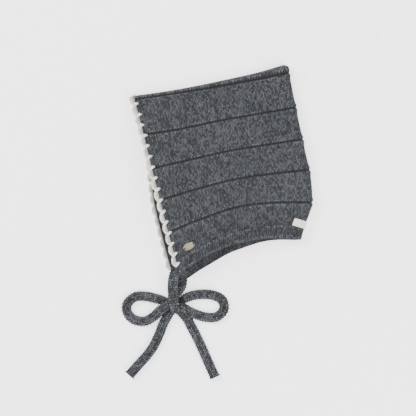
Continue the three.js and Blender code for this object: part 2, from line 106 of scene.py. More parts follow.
def smooth_route(stops, spacing):
    """Points at even spacing, in millimetres, on a smooth line through the stops."""
    stops = np.asarray(stops, float)
    padded = np.vstack([2 * stops[0] - stops[1], stops, 2 * stops[-1] - stops[-2]])
    gaps = np.sqrt(np.linalg.norm(np.diff(padded, axis=0), axis=1))
    knots = np.concatenate([[0.0], np.cumsum(gaps)])
    dense = []
    for i in range(1, len(padded) - 2):
        t = np.linspace(knots[i], knots[i + 1], 24, endpoint=False)[:, None]
        k0, k1, k2, k3 = knots[i - 1:i + 3]
        p0, p1, p2, p3 = padded[i - 1:i + 3]
        a1 = (k1 - t) / (k1 - k0) * p0 + (t - k0) / (k1 - k0) * p1
        a2 = (k2 - t) / (k2 - k1) * p1 + (t - k1) / (k2 - k1) * p2
        a3 = (k3 - t) / (k3 - k2) * p2 + (t - k2) / (k3 - k2) * p3
        b1 = (k2 - t) / (k2 - k0) * a1 + (t - k0) / (k2 - k0) * a2
        b2 = (k3 - t) / (k3 - k1) * a2 + (t - k1) / (k3 - k1) * a3
        dense.append((k2 - t) / (k2 - k1) * b1 + (t - k1) / (k2 - k1) * b2)
    dense = np.vstack(dense + [padded[-2:-1]])
    lengths = np.concatenate([[0.0], np.cumsum(np.linalg.norm(np.diff(dense, axis=0), axis=1))])
    count = max(4, int(round(lengths[-1] / spacing)))
    at = np.linspace(0.0, lengths[-1], count + 1)
    points = np.stack([np.interp(at, lengths, dense[:, axis]) for axis in range(3)], axis=1)
    return points, lengths[-1]


def level_frames(points):
    """Tangent, side and up at each point of a line that lies on the table."""
    tangents = np.gradient(points, axis=0)
    tangents /= np.linalg.norm(tangents, axis=1)[:, None]
    sides = np.cross((0.0, 0.0, 1.0), tangents)
    sides /= np.linalg.norm(sides, axis=1)[:, None]
    return tangents, sides, np.cross(tangents, sides)


def carried_frames(points, first_side):
    """Tangent, side and up at each point, carried along without twisting."""
    tangents = np.gradient(points, axis=0)
    tangents /= np.linalg.norm(tangents, axis=1)[:, None]
    side = np.array(first_side, float)
    sides = []
    for tangent in tangents:
        side = side - tangent * side.dot(tangent)
        side /= np.linalg.norm(side)
        sides.append(side.copy())
    sides = np.array(sides)
    return tangents, sides, np.cross(tangents, sides)


def mesh_piece(name, vertices, faces, uv=None, marks=None):
    """An object from vertices in millimetres of the row frame, with its maps.

    Yarn that would sink into the table is pressed flat on it.
    """
    vertices = np.array(vertices, float)
    vertices[:, 2] = np.maximum(vertices[:, 2], 0.05)
    mesh = bpy.data.meshes.new(name)
    mesh.from_pydata((vertices * MM).tolist(), [], faces)
    mesh.update()
    for polygon in mesh.polygons:
        polygon.use_smooth = True
    if uv is not None:
        layer = mesh.uv_layers.new(name="stitches")
        corners = np.empty(len(mesh.loops), dtype=np.int32)
        mesh.loops.foreach_get("vertex_index", corners)
        layer.data.foreach_set("uv", np.asarray(uv, np.float32)[corners].ravel())
    for mark, values in (marks or {}).items():
        layer = mesh.attributes.new(mark, "FLOAT", "POINT")
        layer.data.foreach_set("value", np.asarray(values, np.float32))
    piece = bpy.data.objects.new(name, mesh)
    bpy.context.scene.collection.objects.link(piece)
    return piece


def stitch_height(wale, course, rib=0.0):
    """Knit face in wales and courses: two slanting legs to each stitch, from 0 to 1."""
    leg = np.abs(2 * (wale % 1.0) - 1)
    across = np.abs(np.sin(2 * np.pi * wale)) ** 0.8
    middle = 0.2 * np.exp(-(leg / 0.25) ** 2)
    along = 0.5 - 0.5 * np.cos(2 * np.pi * (course - 0.8 * leg))
    return (across * (1 - rib * leg ** 4) + middle) * (0.5 + 0.5 * along)


def knitted_cord(name, route, width, height, wales, first_side=None, squeeze=None, flare=0.05):
    """A knitted tube along a route: wales run along it, and the sides show as small
    steps, one to a course. squeeze gives its width and height at each point, of 1."""
    points, length = smooth_route(route, CORD_COURSE / 2)
    if first_side is None:
        tangents, sides, ups = level_frames(points)
    else:
        tangents, sides, ups = carried_frames(points, first_side)
    columns = wales * 4
    angle = 2 * np.pi * np.arange(columns) / columns
    reach = length * np.linspace(0, 1, len(points))
    wide_share, tall_share = squeeze(points) if squeeze else (np.ones(len(points)), np.ones(len(points)))
    wide_share = wide_share * (1 + flare * np.exp(-((length - reach) / 1.3) ** 2))
    wale = np.arange(columns) / 4.0 + 0.25
    leg = np.abs(2 * (wale % 1.0) - 1)
    across = np.sign(np.cos(angle)) * np.abs(np.cos(angle)) ** 0.85
    over = np.sign(np.sin(angle)) * np.abs(np.sin(angle)) ** 0.85
    rows = []
    uv = []
    for i, point in enumerate(points):
        course = reach[i] / CORD_COURSE
        drop = min(1.0, reach[i] / 3, (length - reach[i]) / 3)
        bump = 2.0 * stitch_height(wale, course + 0.8 * leg) - 1.35
        wide = width / 2 * wide_share[i] + bump
        tall = height / 2 * tall_share[i] + bump * (0.4 + 0.6 * tall_share[i])
        ring = point + np.outer(wide * across, sides[i]) + np.outer(tall * over, ups[i])
        rows.append(ring + np.outer(0.8 * leg * CORD_COURSE * drop, tangents[i]))
        uv.append(np.stack([wale, course + 0.8 * leg * drop], axis=1))
    for end, order in ((0, -1), (len(points) - 1, 1)):
        for share in (0.72, 0.3):
            ring = points[end] + (rows[0 if order < 0 else -1] - points[end]) * share
            ring = ring + tangents[end] * order * 0.25
            rows.insert(0, ring) if order < 0 else rows.append(ring)
            uv.insert(0, uv[0]) if order < 0 else uv.append(uv[-1])
    vertices = np.vstack(rows)
    faces = []
    for row in range(len(rows) - 1):
        for column in range(columns):
            after = (column + 1) % columns
            faces.append((row * columns + column, row * columns + after,
                          (row + 1) * columns + after, (row + 1) * columns + column))
    faces.append(tuple(range(columns))[::-1])
    faces.append(tuple((len(rows) - 1) * columns + i for i in range(columns)))
    shift = np.array(FRAME_SHIFT)
    piece = mesh_piece(name, vertices - shift, faces, np.vstack(uv))
    return piece, points - shift, length


class Shade:
    """A value or colour in a material, with its maths written as plain expressions."""

    def __init__(self, tree, socket):
        self.tree = tree
        self.socket = socket

    def _math(self, operation, *values):
        return node(self.tree, "ShaderNodeMath", {"operation": operation}, list(values))

    def __add__(self, other):
        return self._math("ADD", self, other)

    def __radd__(self, other):
        return self._math("ADD", other, self)

    def __sub__(self, other):
        return self._math("SUBTRACT", self, other)

    def __rsub__(self, other):
        return self._math("SUBTRACT", other, self)

    def __mul__(self, other):
        return self._math("MULTIPLY", self, other)

    def __rmul__(self, other):
        return self._math("MULTIPLY", other, self)

    def __truediv__(self, other):
        return self._math("DIVIDE", self, other)

    def __pow__(self, other):
        return self._math("POWER", self, other)

    def __abs__(self):
        return self._math("ABSOLUTE", self)

    def part(self):
        return self._math("FRACT", self)

    def floor(self):
        return self._math("FLOOR", self)

    def sine(self):
        return self._math("SINE", self)

    def held(self, low, high):
        return self._math("MINIMUM", self._math("MAXIMUM", self, low), high)

    def beside(self, output):
        return Shade(self.tree, self.socket.node.outputs[output])

    def into(self, shader, socket):
        self.tree.links.new(self.socket, shader.inputs[socket])


def node(tree, kind, settings, values, output=0):
    """One node: its settings first, then its sockets by place or by name."""
    made = tree.nodes.new(kind)
    for key, value in settings.items():
        setattr(made, key, value)
    pairs = values.items() if isinstance(values, dict) else enumerate(values)
    for key, value in pairs:
        if isinstance(value, Shade):
            tree.links.new(value.socket, made.inputs[key])
        else:
            made.inputs[key].default_value = value
    return Shade(tree, made.outputs[output])


def finish_of(piece, name, roughness, **constants):
    """A new material on a piece, with its shader's own fixed values; returns its parts."""
    material = bpy.data.materials.new(name)
    material.use_nodes = True
    tree = material.node_tree
    shader = tree.nodes["Principled BSDF"]
    shader.inputs["Roughness"].default_value = roughness
    for socket, value in constants.items():
        shader.inputs[socket.replace("_", " ")].default_value = value
    piece.data.materials.clear()
    piece.data.materials.append(material)
    return tree, shader


def blend_colour(tree, share, dark, light):
    settings = {"data_type": "RGBA", "blend_type": "MIX"}
    return node(tree, "ShaderNodeMix", settings, {0: share, 6: dark, 7: light}, output=2)


def tint(tree, colour, factor):
    """A colour made lighter or darker by a value."""
    grey = node(tree, "ShaderNodeCombineColor", {}, [factor, factor, factor])
    settings = {"data_type": "RGBA", "blend_type": "MULTIPLY"}
    return node(tree, "ShaderNodeMix", settings, {0: 1.0, 6: colour, 7: grey}, output=2)


def noise(tree, scale, detail=2.0, roughness=0.5, vector=None):
    values = {"Scale": scale, "Detail": detail, "Roughness": roughness}
    if vector is None:
        vector = node(tree, "ShaderNodeTexCoord", {}, [], output=3)
    values["Vector"] = vector
    return node(tree, "ShaderNodeTexNoise", {}, values)


def melange_wool(piece, name, dark, light, with_painted_shade=False, rib=0.0, relief=0.0005, step=0.5):
    """Grey melange knit: every stitch leg has its own tone, with pale and dark fibres
    spun in, and the gaps between the legs are in shade."""
    tree, shader = finish_of(piece, name, 0.95, Sheen_Weight=0.05, Sheen_Roughness=0.6)
    stitches = node(tree, "ShaderNodeUVMap", {"uv_map": "stitches"}, [])
    wale = node(tree, "ShaderNodeSeparateXYZ", {}, [stitches])
    course = wale.beside(1)
    leg = abs(wale.part() * 2 - 1)
    climb = course - leg * 0.8
    across = abs((wale * (2 * math.pi)).sine()) ** 0.8
    across = across * (1 - (leg ** 4) * rib)
    along = 0.5 - ((climb * (2 * math.pi)) + math.pi / 2).sine() * 0.5
    face = across * (along * step + (1 - step)) * (0.75 / (1 - step / 2))
    leg_place = node(tree, "ShaderNodeCombineXYZ", {}, [(wale * 2).floor(), climb.floor(), 0.0])
    leg_tone = node(tree, "ShaderNodeTexWhiteNoise", {"noise_dimensions": "2D"}, {"Vector": leg_place})
    plies = ((climb * 3) * (2 * math.pi)).sine() * 0.5 + 0.5
    fibres = noise(tree, 2600.0, 3.0, 0.65)
    flecks = noise(tree, 1500.0, 1.0, 0.5)
    patches = noise(tree, 110.0, 1.0, 0.5)
    drift = noise(tree, 26.0, 2.0, 0.5)
    mix = (leg_tone - 0.5) * 1.05 + (flecks - 0.5) * 3.2 + (fibres - 0.5) * 1.2
    mix = (mix + (patches - 0.5) * 0.6 + (drift - 0.5) * 0.5 + 0.4).held(0.0, 1.0)
    colour = blend_colour(tree, mix, dark, light)
    shadow = face * 1.6 + 0.12
    # Painted shade and painted highlight from the mark: darker in ridge grooves, rib valleys and on the
    # inner face, lighter on bold rows and beside the ridges.
    if with_painted_shade:
        painted_shade_light = node(tree, "ShaderNodeAttribute", {"attribute_name": "painted_shade_light"}, [], output=2)
        shadow = shadow * (1 - (painted_shade_light * 1.2).held(-0.8, 0.97))
    colour = tint(tree, colour, shadow)
    colour.into(shader, "Base Color")
    rough = (0.88 + (fibres - 0.5) * 0.2).held(0.7, 1.0)
    rough.into(shader, "Roughness")
    height = face * 0.8 + plies * across * 0.1 + fibres * 0.3 + flecks * 0.35
    bump = node(tree, "ShaderNodeBump", {}, {"Strength": 0.8, "Distance": relief, "Height": height})
    bump.into(shader, "Normal")


def near_knot(points):
    """The cords are drawn narrower where the knot grips them, and start as flat as the
    band that they are worked from."""
    gap = np.linalg.norm(points[:, :2] - np.array([-78.5, -117.0]), axis=1)
    from_band = np.linalg.norm(points - points[0], axis=1)
    wide = 1 - 0.3 * np.exp(-(gap / 9.0) ** 2)
    tall = (1 - 0.2 * np.exp(-(gap / 9.0) ** 2)) * (1 - 0.5 * np.exp(-(from_band / 6.0) ** 2))
    return wide, tall


CORD_DARK = (0.0075, 0.0083, 0.0102, 1)
CORD_LIGHT = (0.096, 0.103, 0.116, 1)
tie_routes = {
    "upper_tie": UPPER_STRAP + KNOT_TURN_1 + LEFT_LOOP + KNOT_TURN_2 + RIGHT_TAIL,
    "lower_tie": LOWER_STRAP + KNOT_TURN_3 + RIGHT_LOOP + KNOT_TURN_4 + LEFT_TAIL,
}
ties = {}
for tie_name, route in tie_routes.items():
    tie, line, tie_length = knitted_cord(
        tie_name, route, CORD_WIDTH, CORD_HEIGHT, CORD_WALES, squeeze=near_knot, flare=0.2)
    melange_wool(tie, f"{tie_name}_wool", CORD_DARK, CORD_LIGHT, step=0.85)
    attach(tie, "root")
    ties[tie_name] = (tie, line, tie_length)

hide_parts("upper_tie_strap", "bow_loop_left", "bow_tail_right")
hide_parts("lower_tie_strap", "bow_loop_right", "bow_tail_left")

# ------------------------------------------------------------------ knot
# The tie's last turn is drawn tight round the middle of the bow, over the loops' ends,
# so it shows as one short arch of the same knitted cord.
KNOT_ARCH = [
    (-79.3, -124.9, 2.6), (-79.2, -125.4, 6.0), (-78.9, -122.6, 10.4),
    (-78.6, -117.2, 12.0), (-78.3, -111.6, 11.0), (-78.1, -108.2, 6.6), (-78.0, -108.6, 3.0),
]


def smooth_step(value, low, high):
    t = np.clip((value - low) / (high - low), 0, 1)
    return t * t * (3 - 2 * t)


def knot_squeeze(points):
    """Drawn in at the middle and towards the tails."""
    y = points[:, 1]
    wide = 1 - 0.08 * np.exp(-((y + 116.0) / 3.5) ** 2) - 0.2 * smooth_step(-y, 115.0, 125.0)
    return wide, np.ones(len(points))


knot, _, _ = knitted_cord(
    "bow_turn", KNOT_ARCH, 10.6, 4.6, 8, (1.0, 0.0, 0.0), knot_squeeze, flare=0.0)
melange_wool(knot, "bow_turn_wool", CORD_DARK, CORD_LIGHT, step=0.85)
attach(knot, "root")
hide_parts("bow_knot")

for tie_name, (tie, line, tie_length) in ties.items():
    tuple(line[0] * MM)
    round(tie_length * MM, 3)
    [tuple(point * MM) for point in line[::2]] + [tuple(line[-1] * MM)]
    [knot] if tie_name == "upper_tie" else ()

# ------------------------------------------------------------------ hood
# One piece of grey melange wool, knitted from the neck up in stocking stitch with a purl
# ridge every fifteen courses. It folds round the back, and the two halves are joined
# along the crown, which makes the point at the back. The head goes in from the face side.
WALL = 2.4
FOLD_RADIUS = 4.5
PUFF = 26.0
BACK_LIFT = 2.2
BACK_LIFT_REACH = 24.0
HOOD_DEPTH = 150.0
HOOD_HEIGHT = 180.0
HOOD_WALES = 116
HOOD_COURSE = 2.1

# Face edge, back fold and height at five stations between them, from neck to crown.
HOOD_ROWS = [
    ("neck_edge", -66.7, 58.7, (-88.0, -76.2, -71.0, -72.6, -80.8)),
    ("band_top", -67.9, 65.8, (-74.5, -64.0, -58.8, -60.3, -68.0)),
    ("ridge_1", -69.5, 77.8, (-45.5, -38.9, -35.0, -38.5, -46.0)),
    ("ridge_2", -70.7, 82.0, (-12.5, -9.4, -7.6, -9.8, -13.5)),
    ("ridge_3", -72.2, 81.8, (20.0, 20.6, 21.2, 19.7, 17.7)),
    ("ridge_4", -73.3, 81.8, (55.0, 52.8, 52.8, 51.6, 50.4)),
    ("ridge_5", -75.3, 82.3, (91.2, 88.7, 86.6, 85.5, 85.0)),
    ("crown", -75.5, 82.1, (95.8, 93.3, 92.5, 92.7, 95.0)),
]
LOWER_NECK_SHIFT = (10.0, 12.6, 8.2, 2.8, 0.0)
LOWER_FACE_SHIFT = 6.9
LOWER_CORNER_SHIFT = 2.5
CROWN_ROW = 7.0
QUARTER_FOLD = FOLD_RADIUS * math.pi / 2


def shared_slope(before, after):
    mean = (before + after) / 2
    limit = 3 * np.minimum(np.abs(before), np.abs(after))
    return np.where(before * after > 0, np.sign(mean) * np.minimum(np.abs(mean), limit), 0.0)


def along_table(values, position):
    """A smooth line through evenly spaced values; a value may itself be an array."""
    last = len(values) - 1
    values = np.asarray(values, float)
    position = np.asarray(position, float)
    index = np.clip(np.floor(position).astype(int), 0, last - 1)
    t = position - index
    if values.ndim == 1:
        get = lambda i: values[i]
    else:
        get = lambda i: np.take_along_axis(values, i[None, ...], axis=0)[0]
    start = get(index)
    end = get(index + 1)
    step = end - start
    before = np.where(index > 0, start - get(np.maximum(index - 1, 0)), step)
    after = np.where(index + 1 < last, get(np.minimum(index + 2, last)) - end, step)
    slope_in = shared_slope(before, step)
    slope_out = shared_slope(step, after)
    t2 = t * t
    t3 = t2 * t
    return ((2 * t3 - 3 * t2 + 1) * start + (t3 - 2 * t2 + t) * slope_in
            + (3 * t2 - 2 * t3) * end + (t3 - t2) * slope_out)


def row_y(row, share):
    stations = np.stack([
        along_table([entry[3][station] for entry in HOOD_ROWS], row) for station in range(5)])
    return along_table(stations, share * 4)


def face_reach(row):
    face = along_table([entry[1] for entry in HOOD_ROWS], row)
    back = along_table([entry[2] for entry in HOOD_ROWS], row)
    return back - face - FOLD_RADIUS + QUARTER_FOLD


def hood_face(row, reach):
    """Outer face of the fabric. reach runs over the fabric from the back fold, plus on the
    upper layer and minus on the lower one."""
    row, reach = np.broadcast_arrays(np.asarray(row, float), np.asarray(reach, float))
    face = along_table([entry[1] for entry in HOOD_ROWS], row)
    back = along_table([entry[2] for entry in HOOD_ROWS], row)
    upper = reach >= 0
    angle = np.clip(np.abs(reach) / QUARTER_FOLD, 0, 1) * math.pi / 2
    from_back = FOLD_RADIUS * (1 - np.cos(angle)) + np.maximum(0, np.abs(reach) - QUARTER_FOLD)
    share = 1 - from_back / (back - face)
    y = row_y(row, share)
    from_crown = np.maximum(0, row_y(np.full_like(row, CROWN_ROW), share) - y)
    back_turn = np.maximum(0, 1 - from_back / FOLD_RADIUS)
    crown_turn = np.clip(1 - from_crown / FOLD_RADIUS, 0, 1)
    pull_back = back_turn - back_turn * np.sqrt(1 - crown_turn ** 2 / 2)
    pull_crown = crown_turn - crown_turn * np.sqrt(1 - back_turn ** 2 / 2)
    swell = np.sqrt(np.maximum(0, (1 - back_turn ** 2) * (1 - crown_turn ** 2)))
    along_depth = np.minimum(1, from_back / (0.9 * HOOD_DEPTH))
    along_height = np.minimum(1, from_crown / (0.75 * HOOD_HEIGHT))
    rise = np.sin(along_depth * math.pi / 2) ** 1.1 * np.sin(along_height * math.pi / 2) ** 1.1
    neck_drop = 1 - 0.5 * smooth_step(from_crown / HOOD_HEIGHT, 0.55, 0.95)
    face_drop = 1 - 0.12 * smooth_step(from_back / HOOD_DEPTH, 0.8, 1)
    puff = PUFF * rise * neck_drop * face_drop
    lift = BACK_LIFT * (1 - smooth_step(from_back, FOLD_RADIUS, BACK_LIFT_REACH))
    middle = FOLD_RADIUS + lift
    x = back - from_back - FOLD_RADIUS * pull_back
    y = y - FOLD_RADIUS * pull_crown
    z = np.where(upper, middle + FOLD_RADIUS * swell + puff, middle - FOLD_RADIUS * swell)
    down = from_crown / HOOD_HEIGHT
    to_face = 1 - share
    face_side = (LOWER_FACE_SHIFT * smooth_step(down, 0.3, 0.64)
                 - (LOWER_FACE_SHIFT - LOWER_CORNER_SHIFT) * smooth_step(down, 0.92, 1.02))
    neck_side = along_table(LOWER_NECK_SHIFT, share * 4) * np.minimum(1, down) ** 2.2
    x = np.where(upper, x, x - face_side * np.maximum(to_face, 0) ** 1.5)
    y = np.where(upper, y, y - neck_side)
    return np.stack([x, y, z], axis=-1) - np.array(FRAME_SHIFT)


def outward(points, mirrored_top):
    """Outward directions of a grid of points that runs up the rows and round the back."""
    up = np.gradient(points, axis=0)
    across = np.gradient(points, axis=1)
    normals = np.cross(across, up)
    normals /= np.maximum(np.linalg.norm(normals, axis=2), 1e-9)[:, :, None]
    if mirrored_top:
        top = normals[-1] + normals[-1][::-1]
        normals[-1] = top / np.maximum(np.linalg.norm(top, axis=1), 1e-9)[:, None]
    middle = normals[len(points) // 2, points.shape[1] // 4]
    return normals if middle[2] > 0 else -normals


def course_lines(first, last, height, fine_at):
    """Lines of points up a run of rows: two to a course, closer beside each ridge."""
    lines = []
    for start in range(first, last):
        reach = float(np.abs(row_y(start + 1.0, 0.5) - row_y(float(start), 0.5)))
        courses = max(2, int(round(reach / height)))
        steps = [i / 2 for i in range(2 * courses)]
        if start in fine_at:
            steps = [0.0, 0.25] + steps[1:]
        if start + 1 in fine_at:
            steps = steps + [courses - 0.25]
        lines += [(start + step / courses, start, step, courses) for step in sorted(set(steps))]
    lines.append((float(last), last - 1, float(courses), courses))
    return lines


def knitted_wall(name, lines, wales, first_course, relief, closed_top, inner_shade):
    """A wall of knitting from its course lines: a stitched outer face, a purl inner face,
    and rims at the neck and face edges. Points are shared along a closed crown."""
    columns = wales * 4
    wale = np.arange(columns + 1) / 4.0
    slant = 0.8 * np.abs(2 * (wale % 1.0) - 1)
    rows = np.array([line[0] for line in lines])
    course = []
    so_far = first_course
    for i, line in enumerate(lines):
        if i and line[1] != lines[i - 1][1]:
            so_far += lines[i - 1][3]
        course.append(so_far + line[2])
    course = np.array(course)
    to_ridge = np.array([min(line[2], line[3] - line[2]) for line in lines])
    straight = np.clip(to_ridge, 0, 1)
    ends = np.clip(np.minimum(course - course[0], course[-1] - course), 0, 1)
    per_course = np.array([1.0 / line[3] for line in lines])
    share = 1 - 2 * np.arange(columns + 1) / columns
    grid_row = rows[:, None] + (per_course * straight * ends)[:, None] * (slant[None, :] - 0.4)
    grid_row = np.clip(grid_row, rows[0], rows[-1])
    grid_reach = face_reach(grid_row) * share[None, :]
    points = hood_face(grid_row, grid_reach)
    flat = hood_face(np.repeat(rows[:, None], columns + 1, axis=1),
                     face_reach(rows)[:, None] * share[None, :])
    normals = outward(flat, closed_top)
    leg = np.abs(2 * (wale % 1.0) - 1)
    true_course = course[:, None] + 0.8 * leg[None, :]
    lift, painted_shade_light = relief(wale[None, :], true_course, rows[:, None], to_ridge[:, None],
                          np.abs(grid_reach))
    lift = np.broadcast_to(lift, grid_row.shape).copy()
    if closed_top:
        lift[-1] = 0.0
    outer = points + normals * lift[:, :, None]

    whole = [i for i, line in enumerate(lines) if abs(line[2] - round(line[2])) < 1e-6]
    half = list(range(0, columns + 1, 2))
    bumps = 0.35 * np.where((np.array(half)[None, :] // 2 + np.arange(len(whole))[:, None]) % 2, 1, -1)
    inner_base = flat[np.ix_(whole, half)]
    inner_way = normals[np.ix_(whole, half)]
    inner = inner_base - inner_way * (WALL + bumps)[:, :, None]
    if closed_top:
        inner[-1] = inner_base[-1] - inner_way[-1] * WALL

    vertices = np.vstack([outer.reshape(-1, 3), inner.reshape(-1, 3)])
    outer_at = lambda i, c: i * (columns + 1) + (
        columns - c if closed_top and i == len(lines) - 1 and c > columns // 2 else c)
    base = outer.shape[0] * outer.shape[1]
    inner_columns = len(half) - 1
    inner_at = lambda i, c: base + i * len(half) + (
        inner_columns - c if closed_top and i == len(whole) - 1 and c > inner_columns // 2 else c)
    faces = []
    for i in range(len(lines) - 1):
        for c in range(columns):
            faces.append((outer_at(i, c), outer_at(i + 1, c), outer_at(i + 1, c + 1), outer_at(i, c + 1)))
    for i in range(len(whole) - 1):
        for c in range(inner_columns):
            faces.append((inner_at(i, c), inner_at(i, c + 1), inner_at(i + 1, c + 1), inner_at(i + 1, c)))
        between = list(range(whole[i], whole[i + 1] + 1))
        near_rim = [outer_at(j, 0) for j in between]
        faces.append(tuple(near_rim[::-1] + [inner_at(i, 0), inner_at(i + 1, 0)]))
        far_rim = [outer_at(j, columns) for j in between]
        faces.append(tuple(far_rim + [inner_at(i + 1, inner_columns), inner_at(i, inner_columns)]))
    for c in range(inner_columns):
        run = [outer_at(0, 2 * c), outer_at(0, 2 * c + 1), outer_at(0, 2 * c + 2)]
        faces.append(tuple(run + [inner_at(0, c + 1), inner_at(0, c)]))
        if not closed_top:
            top = len(lines) - 1
            run = [outer_at(top, 2 * c + 2), outer_at(top, 2 * c + 1), outer_at(top, 2 * c)]
            faces.append(tuple(run + [inner_at(len(whole) - 1, c), inner_at(len(whole) - 1, c + 1)]))
    tidy = []
    for face in faces:
        kept = list(dict.fromkeys(face))
        if len(kept) > 2:
            tidy.append(tuple(kept))
    uv_outer = np.stack(np.broadcast_arrays(
        wale[None, :], course[:, None] + (straight * ends)[:, None] * (slant - 0.4)), axis=-1)
    uv_inner = np.stack(np.broadcast_arrays(
        wale[half][None, :], course[whole][:, None] + 0.25), axis=-1)
    uv = np.vstack([uv_outer.reshape(-1, 2), uv_inner.reshape(-1, 2)])
    # Painted shade and light mark for each point: the relief's values on the outer face, inner_shade all
    # over the inner face.
    marks = np.concatenate([
        np.broadcast_to(painted_shade_light, grid_row.shape).ravel(),
        np.full(inner.shape[0] * inner.shape[1], inner_shade)])
    piece = mesh_piece(name, vertices, tidy, uv, {"painted_shade_light": marks})
    return piece


def drop_loose_points(piece):
    """Points of the lower layer that the crown's shared line took over are removed."""
    work = bmesh.new()
    work.from_mesh(piece.data)
    bmesh.ops.delete(work, geom=[v for v in work.verts if not v.link_faces], context="VERTS")
    bmesh.ops.recalc_face_normals(work, faces=work.faces)
    work.to_mesh(piece.data)
    work.free()


def hood_relief(wale, course, row, to_ridge, from_fold):
    """Stitch legs, and at each ridge a deep turn with a purl bump in every wale. The
    ridges stand a little proud where they go round the back fold."""
    at_ridge = (row > 1.5) & (row < CROWN_ROW - 0.3)
    leg = np.abs(2 * (wale % 1.0) - 1)
    near = np.where(at_ridge, np.exp(-(to_ridge / (0.38 + 0.32 * leg ** 2)) ** 2), 0.0)
    beside = np.where(at_ridge, np.exp(-((to_ridge - 1.0) / 0.5) ** 2), 0.0)
    swell = np.where(at_ridge, np.exp(-(to_ridge / 2.0) ** 2), 0.0)
    fold = np.exp(-(from_fold / 7.0) ** 2)
    stitch = 1.2 * stitch_height(wale, course) - 0.8
    purl = 0.75 * (1 - leg) ** 0.7
    lift = stitch * (1 - near) + near * (-1.75 + purl) + 0.3 * beside + swell * (0.25 + 0.9 * fold)
    # The second value is painted shade in each ridge's turn, and painted highlight on the courses beside
    # it.
    return lift, near * (1 - 0.2 * (1 - leg)) - 0.3 * beside * (1 - leg ** 2)


hood_lines = course_lines(1, 7, HOOD_COURSE, {2, 3, 4, 5, 6})
# The hood's inner face gets painted shade of 0.35.
hood = knitted_wall("hood_knit", hood_lines, HOOD_WALES, 7.0, hood_relief, True, 0.35)
drop_loose_points(hood)
WOOL_DARK = (0.007, 0.0078, 0.0096, 1)
WOOL_LIGHT = (0.075, 0.081, 0.0925, 1)
melange_wool(hood, "hood_wool", WOOL_DARK, WOOL_LIGHT, with_painted_shade=True)
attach(hood, "root")
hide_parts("hood")

# ------------------------------------------------------------------ neck band
# Picked up along the neck edge and knitted downwards in narrow ribs, then cast off.
# The picked-up row and the cast-off row show as two lines of bolder stitches.


def band_relief(wale, course, row, to_ridge, from_fold):
    """Ribs with deep valleys, a line of bold stitches above them and one below."""
    leg = np.abs(2 * (wale % 1.0) - 1)
    bold = np.exp(-((row - 0.93) / 0.08) ** 2) + np.exp(-((row - 0.2) / 0.1) ** 2)
    rib = 0.45 * (1 - leg ** 2)
    stitch = 0.85 * stitch_height(wale, course)
    lift = rib + stitch - 0.9 + bold * (0.9 * stitch_height(wale, course) - 0.1)
    turned = np.clip(1 - row / 0.12, 0, 1)
    # The second value is painted shade in the rib valleys, and painted highlight on the two bold rows.
    return lift - 0.5 * turned ** 2, 0.5 * leg ** 3 * (1 - bold) - 0.85 * bold * (1 - leg ** 3)


band_lines = course_lines(0, 1, 2.05, set())
# The band's inner face gets only a faint painted shade.
band = knitted_wall("neck_band_rib", band_lines, HOOD_WALES, 0.0, band_relief, False, 0.02)
drop_loose_points(band)
melange_wool(band, "band_wool", WOOL_DARK, WOOL_LIGHT, with_painted_shade=True, rib=0.5)
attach(band, "root")
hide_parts("neck_band")

# ------------------------------------------------------------------ face edging
# Shells worked in cream two-ply yarn round the whole face edge: each is a fat outer
# strand and two inner ones between anchor stitches, which reach into the grey as points.
SHELL_PITCH = 11.1
YARN_RADIUS = 1.2
EDGING_START_ROW = 0.66
EDGING_END_ROW = 1.0


def face_rim():
    """Middle of the fabric's rim, the way out of the face, and the fabric's outer side."""
    up = np.linspace(EDGING_START_ROW, 6.4, 300)
    top = 6.4 + 0.6 * np.sin(np.linspace(0, math.pi / 2, 40))[1:]
    side_rows = np.concatenate([up, top])
    down = side_rows[::-1][1:]
    down = down[down >= EDGING_END_ROW]
    rims = []
    for rows, sign in ((side_rows, 1), (down, -1)):
        reach = face_reach(rows) * sign
        here = hood_face(rows, reach)
        inside = hood_face(rows, reach - sign * 2.0)
        beside = hood_face(np.clip(rows - 0.01, 0, 7), reach)
        after = hood_face(np.clip(rows + 0.01, 0, 7), reach)
        away = here - inside
        away /= np.linalg.norm(away, axis=1)[:, None]
        up_way = after - beside
        normal = np.cross(up_way, away) * sign
        normal /= np.linalg.norm(normal, axis=1)[:, None]
        normal *= np.sign(normal[5, 2]) * sign
        rims.append((here - normal * WALL / 2, away, normal))
    return [np.vstack([rims[0][i], rims[1][i]]) for i in range(3)]


rim, rim_away, rim_normal = face_rim()
rim_reach = np.concatenate([[0], np.cumsum(np.linalg.norm(np.diff(rim, axis=0), axis=1))])
shell_count = int(round(rim_reach[-1] / SHELL_PITCH))


def at_rim(along, out, over):
    """A point of the edging: along the rim, out from it, and over the fabric's face."""
    along = np.asarray(along, float)
    pick = lambda table: np.stack([np.interp(along, rim_reach, table[:, i]) for i in range(3)], axis=-1)
    away = pick(rim_away)
    normal = pick(rim_normal)
    return pick(rim) + away * np.asarray(out)[..., None] + normal * np.asarray(over)[..., None]


